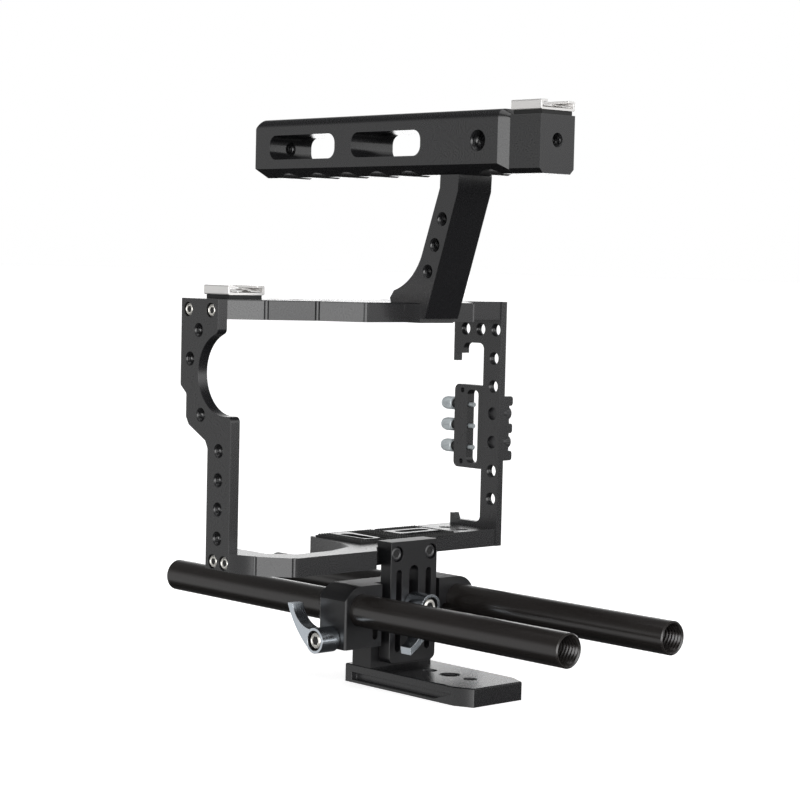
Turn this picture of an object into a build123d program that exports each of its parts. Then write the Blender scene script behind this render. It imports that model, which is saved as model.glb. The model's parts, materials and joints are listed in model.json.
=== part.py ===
"""Cinema camera rig: cage, top handle, rod clamp on a dovetail base, and two 15 mm rods.

Millimetres, +Z up, lens side towards -Y, grip side towards -X. The origin is the centre of the
3/8 inch tripod thread on the underside of the dovetail base, midway between the rods.
"""
import os
from math import cos, radians, sin

from build123d import *

os.makedirs("parts", exist_ok=True)

# ---- threads and fasteners -------------------------------------------------------------------
R_QUARTER = 3.175          # 1/4 inch accessory thread
R_THREE_EIGHTHS = 4.7625   # 3/8 inch tripod thread
FIT = 0.05                 # radial gap between a screw or rod and its own hole
M4_R = 2.0
M5_R = 2.5
HEX_DEPTH = 1.6
SHOE_SCREW_R = 1.25
COUNTERBORE_R = 3.6       # counterbore for the larger M4 heads

# ---- rods ------------------------------------------------------------------------------------
ROD_R = 7.5
ROD_BORE_R = 6.0
ROD_LENGTH = 266.0
ROD_X = 30.0               # half of the 60 mm rod standard
ROD_Z = 37.0
ROD_FRONT = {"left": -101.0, "right": -105.5}

# ---- dovetail base ---------------------------------------------------------------------------
BASE_W = 38.0
BASE_FRONT = -31.0
BASE_BACK = 50.3
BASE_T = 8.5
BASE_CORNER = (4.0, 9.0)   # corner cut across and along the plate
GROOVE_BACK = 45.8         # the groove stops short of the plate's back end
GROOVE_FRONT = (-9.3, -20.1)   # slanted front end of the side groove, bottom and top
GROOVE_Z = (1.3, 4.8)
GROOVE_DEPTH = 3.2
THREAD_PITCH_Y = 13.0      # spacing of the three tripod threads
BASE_SCREW_X = 12.0
BASE_SCREW_Y = 39.5

# ---- rod clamp block -------------------------------------------------------------------------
BLOCK_FRONT = 32.8
BLOCK_BACK = 45.5
BLOCK_HALF = 19.0
BLOCK_TOP = 48.0
EAR_FRONT = 27.1
EAR_BOTTOM = 19.5
EAR_OUT = 40.0
EAR_R = BLOCK_TOP - ROD_Z
SLIT_X = 21.8              # clamping slit from the rod bore down beside the neck
SLIT_Z = (22.8, 36.0)
SLIT_W = 3.2
LEVER_Y = (EAR_FRONT + BLOCK_BACK) / 2
LEVER_Z = 23.8

# ---- riser plate -----------------------------------------------------------------------------
RISER_HALF = 14.4
RISER_FRONT = 25.4
RISER_BACK = 32.4
RISER_BOTTOM = 10.8
RISER_TOP = 67.0
RISER_SEAT_Y = 35.0        # where the riser's head meets the bottom plate
SLOT_X = 9.2
SLOT_Z = (16.0, 54.0)
SLOT_W = 3.4
LOCK_SLOT_Z = (14.0, 55.6)
LOCK_SLOT_W = 5.7
LOCK_Z = 37.6
GUIDE_PIN_R = 1.65
RISER_HEAD_BOTTOM = 56.5   # underside of the thicker head of the riser
RISER_SCREW_X = 10.5
RISER_SCREW_Z = 61.3
RISER_SINK = 4.0

# ---- levers ----------------------------------------------------------------------------------
HUB_R = 5.8
HUB_BORE_R = M5_R + FIT
HUB_RECESS_R = 4.6
HUB_RECESS = 2.6
SIDE_HUB = 10.2
SIDE_ARM = 6.4             # width of a side lever's arm
FRONT_ARM = 6.6
LEVER_SCREW_R = 3.6
LEVER_SCREW_H = 2.2
FRONT_HUB = 11.6
LEVER_GAP = 0.3
LOCK_TURN = 99.0           # turn of the front lever about its own axis
RIGHT_TURN = -103.4        # turn that points the right lever up and back like the left one

# ---- cage ------------------------------------------------------------------------------------
CAGE_HALF = 86.0
SIDE_T = 5.2
INNER = CAGE_HALF - SIDE_T
RIGHT_T = 3.8              # the right plate is thinner than the left one
RIGHT_INNER = CAGE_HALF - RIGHT_T
RIGHT_BACK = 87.4
CAGE_BOTTOM = 55.5
BOTTOM_TOP = 64.0
TOP_UNDER = 167.6
CAGE_TOP = 176.5
LEG_FRONT = 54.5
LEG_BACK = 71.1
COLUMN_BACK = 66.2
GRIP_Y = 60.2              # centre of the round cutout for the grip hand
GRIP_Z = 143.3
GRIP_R = 18.7
SCREW_Z_TOP = 171.5
SCREW_Z_BOTTOM = 59.0
SIDE_SINK = 3.0            # depth of the counterbores in the left plate
RIGHT_SINK = 2.2
RIGHT_HEAD_H = 1.8
HEAD_R = 3.0
HEAD_H = 2.6
PAD_T = 1.5
FACET_GROOVE_R = 1.1       # upright groove where two edge facets meet

# ---- cable clamp -----------------------------------------------------------------------------
CLAMP_T = 5.0
CLAMP_Z = 113.3
CLAMP_H = 42.0
CLAMP_BACK = 90.0
CLAMP_SLOT = (73.1, 81.0)
THUMB_PITCH = 10.8
THUMB_R = 1.5
THUMB_STEPS = ((78.3, 90.3, THUMB_R), (90.3, 92.3, 2.5), (92.3, 100.7, 3.3))
THUMB_X = CAGE_HALF + CLAMP_T / 2
CLAMP_SCREW_MID = 113.9
CLAMP_SCREW_Z = 7.1        # half of the spacing of the two clamp screws
CLAMP_SHANK_R = R_QUARTER - FIT
CLAMP_SINK = 1.6
RIB_R = 2.4                # half height of the clamp's three rounded bosses

# ---- handle ----------------------------------------------------------------------------------
STRUT_HALF = 10.4
STRUT_HOOK_Y = 14.2
GRIP_HALF = 13.2
GRIP_FRONT = -39.8
GRIP_BACK = 131.0
GRIP_BOTTOM = 234.1
GRIP_TOP = 262.2
GRIP_CHAMFER = 4.3
HEAD_HALF = 10.6
HEAD_FRONT = -58.1
HEAD_TOP = 259.4
GRIP_AXIS_Z = 248.5
HANDLE_SCREW_X = 5.0
HANDLE_SCREW_Y = -2.6
HANDLE_SINK = 20.0
STRUT_SINK = 3.6
FINGER_PITCH = 21.05
FINGER_R = 13.0
FINGER_DEPTH = 2.0

# ---- cold shoes ------------------------------------------------------------------------------
SHOE_W = 21.0
SHOE_L = 18.0
SHOE_H = 4.4
SHOE_WALL = 1.1
SHOE_MOUTH = 12.7
SHOE_BASE_T = 1.8
SHOE_DEPTH = 17.0
SHOE_SCREW_Y = 5.0         # half of the spacing of a shoe's two screws
HANDLE_SHOE_Y = -49.0
CAGE_SHOE = (-66.0, 79.0)


def facing(x, y, z, normal, x_dir=None):
    """A plane at a point, facing along normal."""
    return Plane(origin=(x, y, z), x_dir=x_dir, z_dir=normal)


# ---- dovetail base ---------------------------------------------------------------------------
half = BASE_W / 2
cut_x, cut_y = BASE_CORNER
with BuildPart() as base_plate:
    with BuildSketch(Plane.XY):
        with BuildLine():
            Polyline(
                (-half + cut_x, BASE_FRONT), (half - cut_x, BASE_FRONT),
                (half, BASE_FRONT + cut_y), (half, BASE_BACK), (-half, BASE_BACK),
                (-half, BASE_FRONT + cut_y), close=True)
        make_face()
    extrude(amount=BASE_T)
    for x in (-half - 1, half - GROOVE_DEPTH):
        with BuildSketch(Plane.YZ.offset(x)):
            with BuildLine():
                Polyline((GROOVE_BACK, GROOVE_Z[0]), (GROOVE_FRONT[0], GROOVE_Z[0]),
                         (GROOVE_FRONT[1], GROOVE_Z[1]), (GROOVE_BACK, GROOVE_Z[1]), close=True)
            make_face()
        extrude(amount=GROOVE_DEPTH + 1, mode=Mode.SUBTRACT)
    with Locations((0, 0, BASE_T)):
        Hole(R_THREE_EIGHTHS)
    with Locations((0, -THREAD_PITCH_Y, BASE_T), (0, THREAD_PITCH_Y, BASE_T)):
        Hole(R_QUARTER)
    with Locations(*[facing(x, BASE_SCREW_Y, 0, (0, 0, -1)) for x in (-BASE_SCREW_X, BASE_SCREW_X)]):
        CounterSinkHole(M4_R + FIT, 4.2)
    chamfer(base_plate.faces().sort_by(Axis.Z)[-1].outer_wire().edges(), 0.4)
base_plate.part.label = "base_plate"
export_step(base_plate.part, "parts/base_plate.step")

with BuildPart() as base_screws:
    for x in (-BASE_SCREW_X, BASE_SCREW_X):
        with BuildSketch(Plane.XZ.offset(-BASE_SCREW_Y)) as profile:
            with BuildLine():
                Polyline((x, 0.2), (x + 3.9, 0.2), (x + M4_R, 2.3), (x + M4_R, 18), (x, 18), close=True)
            make_face()
        revolve(axis=Axis((x, BASE_SCREW_Y, 0), (0, 0, 1)))
        with BuildSketch(facing(x, BASE_SCREW_Y, 0.2, (0, 0, -1))):
            RegularPolygon(1.4, 6, major_radius=False)
        extrude(amount=-HEX_DEPTH, mode=Mode.SUBTRACT)
base_screws.part.label = "base_screws"
export_step(base_screws.part, "parts/base_screws.step")

# ---- rod clamp block -------------------------------------------------------------------------
with BuildPart() as rod_clamp_block:
    with BuildSketch(Plane.XZ.offset(-BLOCK_BACK)):
        with Locations((0, (BASE_T + BLOCK_TOP) / 2)):
            Rectangle(2 * BLOCK_HALF, BLOCK_TOP - BASE_T)
    extrude(amount=BLOCK_BACK - BLOCK_FRONT)
    with BuildSketch(Plane.XZ.offset(-BLOCK_BACK)):
        with BuildLine():
            Line((18, BLOCK_TOP), (ROD_X, BLOCK_TOP))
            arc_z = ROD_Z + (EAR_R ** 2 - (EAR_OUT - ROD_X) ** 2) ** 0.5
            mid = EAR_R * 2 ** -0.5
            ThreePointArc((ROD_X, BLOCK_TOP), (ROD_X + mid, ROD_Z + mid), (EAR_OUT, arc_z))
            Polyline((EAR_OUT, arc_z), (EAR_OUT, EAR_BOTTOM), (18, EAR_BOTTOM), (18, BLOCK_TOP))
        make_face()
        mirror(about=Plane.YZ)
    extrude(amount=BLOCK_BACK - EAR_FRONT)
    outer = rod_clamp_block.edges().filter_by(Axis.Z).group_by(Axis.X)
    fillet(outer[0] + outer[-1], 1.2)
    with BuildSketch(Plane.XZ.offset(-BLOCK_BACK - 1)):
        with Locations((-ROD_X, ROD_Z), (ROD_X, ROD_Z)):
            Circle(ROD_R + FIT)
        with Locations((-SLIT_X, sum(SLIT_Z) / 2), (SLIT_X, sum(SLIT_Z) / 2)):
            SlotOverall(SLIT_Z[1] - SLIT_Z[0], SLIT_W, rotation=90)
    extrude(amount=BLOCK_BACK - EAR_FRONT + 2, mode=Mode.SUBTRACT)
    with Locations(*[facing(sign * EAR_OUT, LEVER_Y, LEVER_Z, (sign, 0, 0)) for sign in (-1, 1)]):
        Hole(M5_R + FIT, depth=22)
    with Locations(facing(0, BLOCK_FRONT, LOCK_Z, (0, -1, 0))):
        Hole(M5_R + FIT, depth=10)
    with Locations(*[facing(x, BLOCK_FRONT, LOCK_Z, (0, -1, 0)) for x in (-SLOT_X, SLOT_X)]):
        Hole(GUIDE_PIN_R + FIT, depth=5)
    with Locations(*[facing(x, BASE_SCREW_Y, BASE_T, (0, 0, -1)) for x in (-BASE_SCREW_X, BASE_SCREW_X)]):
        Hole(M4_R + FIT, depth=12)
rod_clamp_block.part.label = "rod_clamp_block"
export_step(rod_clamp_block.part, "parts/rod_clamp_block.step")

with BuildPart() as guide_pins:
    with BuildSketch(Plane.XZ.offset(-(BLOCK_FRONT + 4.5))):
        with Locations((-SLOT_X, LOCK_Z), (SLOT_X, LOCK_Z)):
            Circle(GUIDE_PIN_R)
    extrude(amount=10.5)
guide_pins.part.label = "guide_pins"
export_step(guide_pins.part, "parts/guide_pins.step")

# ---- rods ------------------------------------------------------------------------------------
for side, sign in (("left", -1), ("right", 1)):
    with BuildPart() as rod:
        with BuildSketch(Plane.XZ.offset(-ROD_FRONT[side])):
            with Locations((sign * ROD_X, ROD_Z)):
                Circle(ROD_R)
                Circle(ROD_BORE_R, mode=Mode.SUBTRACT)
        extrude(amount=-ROD_LENGTH)
        chamfer(rod.edges().filter_by(GeomType.CIRCLE).filter_by(lambda e: e.radius > 7), 0.5)
    rod.part.label = f"rod_{side}"
    export_step(rod.part, f"parts/rod_{side}.step")


# ---- clamp levers ----------------------------------------------------------------------------
def lever(plane, length, arm_width):
    """A curved clamp lever on its hub, seen from the hub's outer end."""
    with BuildPart() as body:
        with BuildSketch(plane):
            with BuildLine():
                ThreePointArc((-5.2, -3.0), (-13.4, 5.2), (-19.0, 15.0))
                Line((-19.0, 15.0), (-15.6, 15.0))
                ThreePointArc((-15.6, 15.0), (-11.2, 8.0), (-3.6, 4.8))
                Line((-3.6, 4.8), (-5.2, -3.0))
            make_face()
            Circle(HUB_R)
        extrude(amount=arm_width)
        with BuildSketch(plane.offset(arm_width - length)):
            Circle(HUB_R)
        extrude(amount=length - arm_width)
        with BuildSketch(plane.offset(arm_width)):
            Circle(HUB_RECESS_R)
        extrude(amount=-HUB_RECESS, mode=Mode.SUBTRACT)
        with BuildSketch(plane.offset(arm_width - length)):
            Circle(HUB_BORE_R)
        extrude(amount=length, mode=Mode.SUBTRACT)
    return body.part


def lever_screw(plane, length, reach):
    """Socket screw through a lever's hub; the head sits in the hub's recess."""
    with BuildPart() as body:
        with BuildSketch(plane.offset(length - HUB_RECESS)):
            Circle(LEVER_SCREW_R)
        extrude(amount=LEVER_SCREW_H)
        with BuildSketch(plane.offset(-reach)):
            Circle(M5_R)
        extrude(amount=reach + length - HUB_RECESS)
        with BuildSketch(plane.offset(length - HUB_RECESS + LEVER_SCREW_H)):
            RegularPolygon(1.9, 6, major_radius=False)
        extrude(amount=-HEX_DEPTH, mode=Mode.SUBTRACT)
    return body.part


LEVER_OUT = EAR_OUT + LEVER_GAP
left_plane = facing(-LEVER_OUT, LEVER_Y, LEVER_Z, (-1, 0, 0), (0, -1, 0))
right_dir = (0, cos(radians(RIGHT_TURN)), sin(radians(RIGHT_TURN)))
right_plane = facing(LEVER_OUT, LEVER_Y, LEVER_Z, (1, 0, 0), right_dir)
lock_dir = (cos(radians(LOCK_TURN)), 0, sin(radians(LOCK_TURN)))
lock_plane = facing(0, RISER_FRONT - LEVER_GAP, LOCK_Z, (0, -1, 0), lock_dir)
for name, plane, hub, arm_width, reach in (
        ("rod_lever_left", left_plane, SIDE_HUB, SIDE_ARM, 20.0),
        ("rod_lever_right", right_plane, SIDE_HUB, SIDE_ARM, 20.0),
        ("height_lever", lock_plane, FRONT_HUB, FRONT_ARM, 16.0)):
    arm = lever(plane.offset(hub - arm_width), hub, arm_width)
    arm.label = name
    export_step(arm, f"parts/{name}.step")
    screw = lever_screw(plane, hub, reach)
    screw.label = f"{name}_screw"
    export_step(screw, f"parts/{name}_screw.step")

# ---- riser plate -----------------------------------------------------------------------------
def riser_screw_planes(y):
    """Planes at the two riser screws at depth y, facing the front."""
    return [facing(x, y, RISER_SCREW_Z, (0, -1, 0)) for x in (-RISER_SCREW_X, RISER_SCREW_X)]


with BuildPart() as riser_plate:
    with BuildSketch(Plane.XZ.offset(-RISER_BACK)) as outline:
        with Locations((0, (RISER_BOTTOM + RISER_TOP) / 2)):
            Rectangle(2 * RISER_HALF, RISER_TOP - RISER_BOTTOM)
        fillet(outline.vertices().group_by(Axis.Y)[0], 3.0)
        for x in (-SLOT_X, SLOT_X):
            with Locations((x, sum(SLOT_Z) / 2)):
                SlotOverall(SLOT_Z[1] - SLOT_Z[0], SLOT_W, rotation=90, mode=Mode.SUBTRACT)
        with Locations((0, sum(LOCK_SLOT_Z) / 2)):
            SlotOverall(LOCK_SLOT_Z[1] - LOCK_SLOT_Z[0], LOCK_SLOT_W, rotation=90, mode=Mode.SUBTRACT)
    extrude(amount=RISER_BACK - RISER_FRONT)
    with BuildSketch(Plane.XZ.offset(-RISER_SEAT_Y)):
        with Locations((0, (RISER_HEAD_BOTTOM + RISER_TOP) / 2)):
            Rectangle(2 * RISER_HALF, RISER_TOP - RISER_HEAD_BOTTOM)
    extrude(amount=RISER_SEAT_Y - RISER_BACK)
    with Locations(*riser_screw_planes(RISER_FRONT)):
        CounterBoreHole(M4_R + FIT, COUNTERBORE_R, RISER_SINK)
    chamfer(riser_plate.faces().sort_by(Axis.Y)[0].outer_wire().edges(), 0.2)
riser_plate.part.label = "riser_plate"
export_step(riser_plate.part, "parts/riser_plate.step")


def socket_screws(planes, shank, head_r=HEAD_R, head_h=HEAD_H, shank_r=M4_R, key=1.5):
    """Identical socket screws, one per plane, heads facing along each plane's normal."""
    with BuildPart() as group:
        for plane in planes:
            with BuildSketch(plane):
                Circle(head_r)
            extrude(amount=head_h)
            with BuildSketch(plane):
                Circle(shank_r)
            extrude(amount=-shank)
            with BuildSketch(plane.offset(head_h)):
                RegularPolygon(key, 6, major_radius=False)
            extrude(amount=-HEX_DEPTH, mode=Mode.SUBTRACT)
    return group.part


riser_screws = socket_screws(riser_screw_planes(RISER_FRONT + RISER_SINK), shank=13.0, head_r=3.4,
                             head_h=3.4, key=1.6)
riser_screws.label = "riser_screws"
export_step(riser_screws, "parts/riser_screws.step")

# ---- screws of the side plates: y and z of each, then the top and bottom ones of each side -----
LEFT_TOP = [(y, SCREW_Z_TOP) for y in (70.5, 87.0)]
LEFT_BOTTOM = [(y, SCREW_Z_BOTTOM) for y in (58.2, 66.2)]
RIGHT_TOP = [(y, SCREW_Z_TOP) for y in (59.5, 80.0)]
RIGHT_BOTTOM = [(y, SCREW_Z_BOTTOM) for y in (59.5, 78.0)]


def sideways(sign, x, places):
    """Planes at x and each (y, z), facing out of the left (-1) or right (1) side."""
    return [facing(sign * x, y, z, (sign, 0, 0)) for y, z in places]


# ---- cage bottom plate -----------------------------------------------------------------------
CAMERA_SLOTS = ((-3.2, 62.0, 20.0, 90), (34.0, 64.0, 20.0, 0))     # centre x, y, length, turn
CAMERA_SLOT_W = 6.6
with BuildPart() as bottom_plate:
    with BuildSketch(Plane.XY.offset(CAGE_BOTTOM)):
        with BuildLine():
            Polyline(
                (-INNER, LEG_BACK), (-INNER, LEG_FRONT), (-CAGE_HALF, LEG_FRONT), (-CAGE_HALF, 47.0),
                (-82.8, 41.0), (-82.8, 38.3), (-72.4, 25.0), (-71.0, 24.6), (-24.0, 24.6),
                (-15.0, RISER_SEAT_Y), (22.0, RISER_SEAT_Y), (42.0, 55.0),
                (RIGHT_INNER, 55.0), (RIGHT_INNER, RIGHT_BACK), (60.0, RIGHT_BACK), (57.0, 82.4),
                (-14.6, 82.4),
                (-19.4, 55.0), (-24.4, 43.0), (-41.7, 36.2), (-62.0, 35.4), (-72.6, 45.0),
                (-72.6, LEG_BACK), close=True)
        make_face()
        with Locations((-83.4, 39.6), (-72.4, 25.0)):
            Circle(FACET_GROOVE_R, mode=Mode.SUBTRACT)
        for x, y, length, turn in CAMERA_SLOTS:
            with Locations((x, y)):
                SlotOverall(length, CAMERA_SLOT_W, rotation=turn, mode=Mode.SUBTRACT)
    extrude(amount=BOTTOM_TOP - CAGE_BOTTOM)
    with Locations(*riser_screw_planes(RISER_SEAT_Y)):
        Hole(M4_R + FIT, depth=9)
    with Locations(*sideways(-1, INNER, LEFT_BOTTOM)):
        Hole(M4_R + FIT, depth=7.5)
    with Locations(*sideways(1, RIGHT_INNER, RIGHT_BOTTOM)):
        Hole(M4_R + FIT, depth=12)
    with Locations((66.0, 62.0, BOTTOM_TOP), (66.0, 74.0, BOTTOM_TOP)):
        Hole(R_QUARTER)
bottom_plate.part.label = "bottom_plate"
export_step(bottom_plate.part, "parts/bottom_plate.step")

for name, x0, x1, y0, y1, window_x, window_y, wide, deep in (
        ("pad_left", -13.8, 21.2, 47.3, 79.6, -3.2, 62.0, 9.0, 22.4),
        ("pad_right", 22.2, 50.4, 50.0, 79.6, 34.0, 64.0, 22.4, 9.0)):
    with BuildPart() as pad:
        with BuildSketch(Plane.XY.offset(BOTTOM_TOP)):
            with Locations(((x0 + x1) / 2, (y0 + y1) / 2)):
                RectangleRounded(x1 - x0, y1 - y0, 1.5)
            with Locations((window_x, window_y)):
                Rectangle(wide, deep, mode=Mode.SUBTRACT)
        extrude(amount=PAD_T)
    pad.part.label = name
    export_step(pad.part, f"parts/{name}.step")

# ---- cage top plate --------------------------------------------------------------------------
STRUT_SCREW_Y = (21.0, 29.0)
TOP_HOLES = ([(x, 78.0) for x in (-44.0, -30.0, 26.0, 40.0, 54.0, 68.0)]
             + [(x, 62.0) for x in (-44.0, -26.0, 26.0, 48.0, 68.0)])
with BuildPart() as top_plate:
    with BuildSketch(Plane.XY.offset(TOP_UNDER)) as outline:
        with BuildLine():
            Polyline(
                (-INNER, 66.0), (-66.5, 55.0), (-45.9, 44.0), (-34.0, 24.5), (-STRUT_HALF, 24.5),
                (-STRUT_HALF, STRUT_HOOK_Y), (STRUT_HALF, STRUT_HOOK_Y), (STRUT_HALF, 24.5), (34.0, 24.5),
                (58.0, 55.0), (RIGHT_INNER, 55.0), (RIGHT_INNER, RIGHT_BACK), (-37.0, RIGHT_BACK),
                (-42.0, 91.5), (-INNER, 91.5), close=True)
        make_face()
        with Locations((-66.5, 55.0), (-45.9, 44.0), (-34.0, 24.5), (34.0, 24.5), (58.0, 55.0)):
            Circle(FACET_GROOVE_R, mode=Mode.SUBTRACT)
        with Locations(*TOP_HOLES):
            Circle(R_QUARTER, mode=Mode.SUBTRACT)
    extrude(amount=CAGE_TOP - TOP_UNDER)
    with Locations(*sideways(-1, INNER, LEFT_TOP)):
        Hole(M4_R + FIT, depth=12)
    with Locations(*sideways(1, RIGHT_INNER, RIGHT_TOP)):
        Hole(M4_R + FIT, depth=9)
    with Locations(*[facing(0, y, TOP_UNDER, (0, 0, -1)) for y in STRUT_SCREW_Y]):
        CounterBoreHole(M4_R + FIT, COUNTERBORE_R, STRUT_SINK)
    with Locations((CAGE_SHOE[0], CAGE_SHOE[1], CAGE_TOP)):
        with GridLocations(0, 2 * SHOE_SCREW_Y, 1, 2):
            Hole(SHOE_SCREW_R + FIT, depth=5)
    top_face = top_plate.faces().sort_by(Axis.Z)[-1]
    chamfer(top_face.outer_wire().edges().filter_by(lambda e: abs(e.center().X) < INNER - 1), 0.4)
top_plate.part.label = "top_plate"
export_step(top_plate.part, "parts/top_plate.step")

# ---- cage side plates ------------------------------------------------------------------------
LEFT_HOLES = [(79.0, 162.3), (85.0, 149.2), (76.5, 124.2)] + [(63.0, 69.6 + 13.1 * i) for i in range(4)]
with BuildPart() as side_plate_left:
    with BuildSketch(Plane.YZ.offset(-CAGE_HALF)) as outline:
        with BuildLine():
            Polyline(
                (65.0, CAGE_TOP), (91.8, CAGE_TOP), (91.8, 137.0), (87.4, 133.4), (87.4, 122.8),
                (85.2, 119.3), (72.9, 112.9), (LEG_BACK, 109.5), (LEG_BACK, CAGE_BOTTOM),
                (LEG_FRONT, CAGE_BOTTOM), (LEG_FRONT, 124.6), (GRIP_Y, 124.6), (65.0, 130.0), close=True)
        make_face()
        fillet(outline.vertices().filter_by(lambda v: 105 < v.Y < 124 and v.X > 60), 1.6)
        fillet(outline.vertices().filter_by(lambda v: v.X < 55 and v.Y > 124), 2.5)
        fillet(outline.vertices().filter_by(lambda v: 132 < v.Y < 138 and v.X > 80), 1.6)
        with Locations((GRIP_Y, GRIP_Z)):
            Circle(GRIP_R, mode=Mode.SUBTRACT)
        fillet(outline.vertices().filter_by(lambda v: 64 < v.X < 66 and 160 < v.Y < 163), 2.5)
        with Locations(*LEFT_HOLES):
            Circle(R_QUARTER, mode=Mode.SUBTRACT)
    extrude(amount=SIDE_T)
    with Locations(*sideways(-1, CAGE_HALF, LEFT_TOP + LEFT_BOTTOM)):
        CounterBoreHole(M4_R + FIT, HEAD_R + 0.2, SIDE_SINK)
side_plate_left.part.label = "side_plate_left"
export_step(side_plate_left.part, "parts/side_plate_left.step")

side_screws_left = socket_screws(sideways(-1, CAGE_HALF - SIDE_SINK, LEFT_TOP + LEFT_BOTTOM), shank=8.5)
side_screws_left.label = "side_screws_left"
export_step(side_screws_left, "parts/side_screws_left.step")

RIGHT_HOLES = ([(58.2 + 10.6 * i, 162.5) for i in range(3)]
               + [(59.0, z) for z in (148.4, 134.5, 92.5, 78.6)])
CLAMP_SCREWS = [(59.0, CLAMP_SCREW_MID - CLAMP_SCREW_Z), (59.0, CLAMP_SCREW_MID + CLAMP_SCREW_Z)]
with BuildPart() as side_plate_right:
    with BuildSketch(Plane.YZ.offset(RIGHT_INNER)) as outline:
        with BuildLine():
            Polyline(
                (LEG_FRONT, CAGE_BOTTOM), (RIGHT_BACK, CAGE_BOTTOM), (RIGHT_BACK, 69.3), (85.1, 69.3),
                (83.8, 66.4), (COLUMN_BACK, 66.4), (COLUMN_BACK, 155.6), (80.5, 155.6), (80.5, 150.2),
                (85.4, 150.2), (85.4, 146.3), (RIGHT_BACK, 146.3), (RIGHT_BACK, CAGE_TOP),
                (LEG_FRONT, CAGE_TOP), close=True)
        make_face()
        fillet(outline.vertices().filter_by(lambda v: 155 < v.Y < 156), 3.0)
        fillet(outline.vertices().filter_by(lambda v: v.X < 67 and 66 < v.Y < 67), 3.0)
        with Locations(*RIGHT_HOLES):
            Circle(R_QUARTER, mode=Mode.SUBTRACT)
    extrude(amount=RIGHT_T)
    with Locations(*sideways(1, CAGE_HALF, RIGHT_TOP + RIGHT_BOTTOM)):
        CounterBoreHole(M4_R + FIT, HEAD_R + 0.2, RIGHT_SINK)
    with Locations(*sideways(1, CAGE_HALF, CLAMP_SCREWS)):
        Hole(R_QUARTER)
side_plate_right.part.label = "side_plate_right"
export_step(side_plate_right.part, "parts/side_plate_right.step")

side_screws_right = socket_screws(
    sideways(1, CAGE_HALF - RIGHT_SINK, RIGHT_TOP + RIGHT_BOTTOM), shank=8.5, head_h=RIGHT_HEAD_H)
side_screws_right.label = "side_screws_right"
export_step(side_screws_right, "parts/side_screws_right.step")

# ---- cable clamp -----------------------------------------------------------------------------
with BuildPart() as cable_clamp_body:
    with BuildSketch(Plane.YZ.offset(CAGE_HALF)):
        with Locations(((68.0 + CLAMP_BACK) / 2, CLAMP_Z)):
            RectangleRounded(CLAMP_BACK - 68.0, CLAMP_H, 3.0)
        with Locations((66.0, CLAMP_Z)):
            Rectangle(20.0, 31.0)
        with Locations((sum(CLAMP_SLOT) / 2, CLAMP_Z)):
            RectangleRounded(CLAMP_SLOT[1] - CLAMP_SLOT[0], 36.8, 2.5, mode=Mode.SUBTRACT)
    extrude(amount=CLAMP_T)
    with BuildSketch(Plane.XZ.offset(-56.0)):
        for dz in (-13.3, 0.3, 13.9):
            with Locations((CAGE_HALF + 3.9, CLAMP_Z + dz)):
                RectangleRounded(7.0, 2 * RIB_R, 1.4)
    extrude(amount=-8.0)
    with Locations(*sideways(1, CAGE_HALF + CLAMP_T, CLAMP_SCREWS)):
        CounterBoreHole(R_QUARTER, COUNTERBORE_R, CLAMP_SINK)
    with Locations(*[facing(THUMB_X, CLAMP_BACK, CLAMP_Z + i * THUMB_PITCH, (0, 1, 0)) for i in (-1, 0, 1)]):
        Hole(THUMB_R + FIT, depth=CLAMP_BACK - CLAMP_SLOT[1])
    with Locations(*sideways(1, CAGE_HALF + CLAMP_T, [(84.5, CLAMP_Z - 18.0), (84.5, CLAMP_Z + 18.0)])):
        Hole(1.3)
cable_clamp_body.part.label = "cable_clamp_body"
export_step(cable_clamp_body.part, "parts/cable_clamp_body.step")

cable_clamp_screws = socket_screws(
    sideways(1, CAGE_HALF + CLAMP_T - CLAMP_SINK, CLAMP_SCREWS), shank=7.0, head_r=3.35, head_h=3.6,
    shank_r=CLAMP_SHANK_R, key=1.6)
cable_clamp_screws.label = "cable_clamp_screws"
export_step(cable_clamp_screws, "parts/cable_clamp_screws.step")

for name, i in (("bottom", -1), ("middle", 0), ("top", 1)):
    with BuildPart() as cable_thumbscrew:
        at = facing(THUMB_X, 0, CLAMP_Z + i * THUMB_PITCH, (0, 1, 0))
        for start, end, radius in THUMB_STEPS:
            with BuildSketch(at.offset(start)):
                Circle(radius)
            extrude(amount=end - start)
        fillet(cable_thumbscrew.edges().sort_by(Axis.Y)[-1], 2.4)
        chamfer(cable_thumbscrew.edges().sort_by(Axis.Y)[0], 0.6)
    cable_thumbscrew.part.label = f"cable_thumbscrew_{name}"
    export_step(cable_thumbscrew.part, f"parts/cable_thumbscrew_{name}.step")

# ---- handle strut ----------------------------------------------------------------------------
STRUT_HOLES = [(1.5, 214.4), (5.9, 202.8), (10.1, 190.9)]
with BuildPart() as handle_strut:
    with BuildSketch(Plane.YZ.offset(-STRUT_HALF)):
        with BuildLine():
            Polyline((3.2, GRIP_BOTTOM), (-8.5, GRIP_BOTTOM), (-8.2, 227.0), (11.3, 169.6),
                     (STRUT_HOOK_Y, 169.6), (STRUT_HOOK_Y, CAGE_TOP), (34.2, CAGE_TOP),
                     (34.8, 178.6), (32.2, 182.0))
            ThreePointArc((32.2, 182.0), (22.2, 187.2), (13.6, 199.8))
            Polyline((13.6, 199.8), (3.4, 228.2), (3.2, GRIP_BOTTOM))
        make_face()
        with Locations(*STRUT_HOLES):
            Circle(R_QUARTER, mode=Mode.SUBTRACT)
    extrude(amount=2 * STRUT_HALF)
    with Locations(*[facing(0, y, CAGE_TOP, (0, 0, -1)) for y in STRUT_SCREW_Y]):
        Hole(M4_R + FIT, depth=7)
    with Locations((0, HANDLE_SCREW_Y, GRIP_BOTTOM)):
        with GridLocations(2 * HANDLE_SCREW_X, 0, 2, 1):
            Hole(M4_R + FIT, depth=10)
handle_strut.part.label = "handle_strut"
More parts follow.
